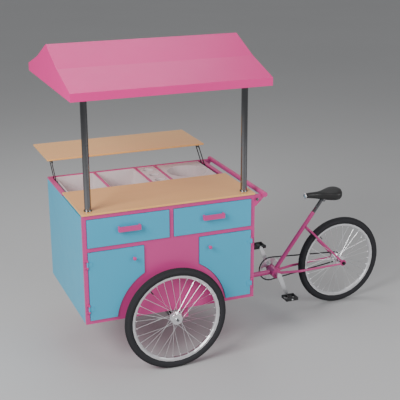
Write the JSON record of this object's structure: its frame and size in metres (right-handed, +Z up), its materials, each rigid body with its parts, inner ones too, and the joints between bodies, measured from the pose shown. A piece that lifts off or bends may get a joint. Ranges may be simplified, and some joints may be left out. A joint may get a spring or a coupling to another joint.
{
  "type": "ice cream tricycle",
  "caption": "Vending tricycle: a box cabinet with tubs, drawers, doors and a lifting lid between the front wheels, a canopy on posts, and a bicycle rear frame with saddle and pedals.",
  "frame": {"origin": "centre of the bounding box at the ground, with the lid open", "axes": "+X from the cabinet towards the saddle (the tricycle is ridden towards -X), +Y towards the chain side, +Z up"},
  "size_m": [2.3475, 1.3646, 1.977],
  "materials": {
    "pink_paint": "satin paint",
    "blue_paint": "satin paint",
    "roof_pink": "satin paint",
    "wood": "varnished",
    "tub_white": "matt",
    "chrome": "polished",
    "steel": "brushed",
    "alloy": "satin",
    "tyre_rubber": "matt",
    "black_plastic": "matt",
    "saddle_vinyl": "satin"
  },
  "bodies": {
    "cabinet": {"front_frame": "pink_paint", "floor_panel": "pink_paint", "top_rim": "pink_paint", "push_bar": "pink_paint", "underframe": "pink_paint", "end_wall_front": "blue_paint", "end_wall_rear": "blue_paint", "back_panel": "blue_paint", "inner_wall": "blue_paint", "canopy_roof": "roof_pink", "counter": "wood", "tub_front": "tub_white", "tub_middle": "tub_white", "cup_tray": "tub_white", "bowl_tub": "tub_white", "canopy_frame": "chrome", "canopy_post_front": "chrome", "canopy_post_rear": "chrome", "front_axle": "steel"},
    "front_wheel_left": {"front_wheel_left": "alloy", "front_tyre_left": "tyre_rubber"},
    "front_wheel_right": {"front_wheel_right": "alloy", "front_tyre_right": "tyre_rubber"},
    "drawer_front": {"drawer_front": "blue_paint", "drawer_pull_front": "pink_paint"},
    "drawer_rear": {"drawer_rear": "blue_paint", "drawer_pull_rear": "pink_paint"},
    "door_front": {"door_front": "blue_paint", "door_knob_front": "pink_paint"},
    "door_rear": {"door_rear": "blue_paint", "door_knob_rear": "pink_paint"},
    "lid_arms_near": {"lid_arm_near_front": "steel", "lid_arm_near_rear": "steel"},
    "lid_arms_far": {"lid_arm_far_front": "steel", "lid_arm_far_rear": "steel"},
    "lid": {"lid_board": "wood", "lid_bracket_front": "steel", "lid_bracket_rear": "steel"},
    "rear_frame": {"seat_tube": "pink_paint", "boom": "pink_paint", "chain_stay_left": "pink_paint", "chain_stay_right": "pink_paint", "seat_stay_left": "pink_paint", "seat_stay_right": "pink_paint", "seat_post": "chrome", "saddle": "saddle_vinyl", "rear_axle": "steel", "chain": "steel"},
    "rear_wheel": {"rear_wheel": "alloy", "sprocket": "alloy", "rear_tyre": "tyre_rubber"},
    "crankset": {"crankset": "alloy"},
    "pedal_left": {"pedal_left": "black_plastic"},
    "pedal_right": {"pedal_right": "black_plastic"}
  },
  "joints": [
    {"name": "steering", "type": "hinge", "parent": "cabinet", "child": "rear_frame", "pos_m": [-0.39575, -0.1513, 0.29], "axis": [0, 0, 1], "range_deg": [-25, 25]},
    {"name": "front_wheel_left_spin", "type": "hinge", "parent": "cabinet", "child": "front_wheel_left", "pos_m": [-0.56575, -0.6423, 0.33], "axis": [0, 1, 0], "continuous": true},
    {"name": "front_wheel_right_spin", "type": "hinge", "parent": "cabinet", "child": "front_wheel_right", "pos_m": [-0.56575, 0.3397, 0.33], "axis": [0, 1, 0], "continuous": true},
    {"name": "rear_wheel_spin", "type": "hinge", "parent": "rear_frame", "child": "rear_wheel", "pos_m": [0.85575, -0.1513, 0.318], "axis": [0, 1, 0], "continuous": true},
    {"name": "crank_spin", "type": "hinge", "parent": "rear_frame", "child": "crankset", "pos_m": [0.34425, -0.1513, 0.306], "axis": [0, 1, 0], "continuous": true},
    {"name": "pedal_left_spin", "type": "hinge", "parent": "crankset", "child": "pedal_left", "pos_m": [0.40606, -0.2763, 0.15301], "axis": [0, 1, 0], "continuous": true},
    {"name": "pedal_right_spin", "type": "hinge", "parent": "crankset", "child": "pedal_right", "pos_m": [0.28244, -0.0263, 0.45899], "axis": [0, 1, 0], "continuous": true},
    {"name": "drawer_front_slide", "type": "slide", "parent": "cabinet", "child": "drawer_front", "axis": [0, -1, 0], "range_m": [0, 0.3]},
    {"name": "drawer_rear_slide", "type": "slide", "parent": "cabinet", "child": "drawer_rear", "axis": [0, -1, 0], "range_m": [0, 0.3]},
    {"name": "door_front_hinge", "type": "hinge", "parent": "cabinet", "child": "door_front", "pos_m": [-1.09425, -0.5918, 0.6], "axis": [0, 0, -1], "range_deg": [0, 110]},
    {"name": "door_rear_hinge", "type": "hinge", "parent": "cabinet", "child": "door_rear", "pos_m": [-0.03725, -0.5918, 0.6], "axis": [0, 0, 1], "range_deg": [0, 110]},
    {"name": "lid_swing", "type": "hinge", "parent": "cabinet", "child": "lid_arms_near", "pos_m": [-0.56575, 0.111, 0.983], "axis": [1, 0, 0], "range_deg": [0, 122.15]},
    {"name": "lid_follow", "type": "hinge", "parent": "cabinet", "child": "lid_arms_far", "pos_m": [-0.56575, 0.171, 0.983], "axis": [1, 0, 0], "range_deg": [0, 122.15]},
    {"name": "lid_level", "type": "hinge", "parent": "lid_arms_near", "child": "lid", "pos_m": [-0.56575, 0.2698, 1.1418], "axis": [1, 0, 0], "range_deg": [-122.15, 0]}
  ],
  "couplings": [
    {"joint": "lid_follow", "follows": "lid_swing", "ratio": 1},
    {"joint": "lid_level", "follows": "lid_swing", "ratio": -1}
  ]
}
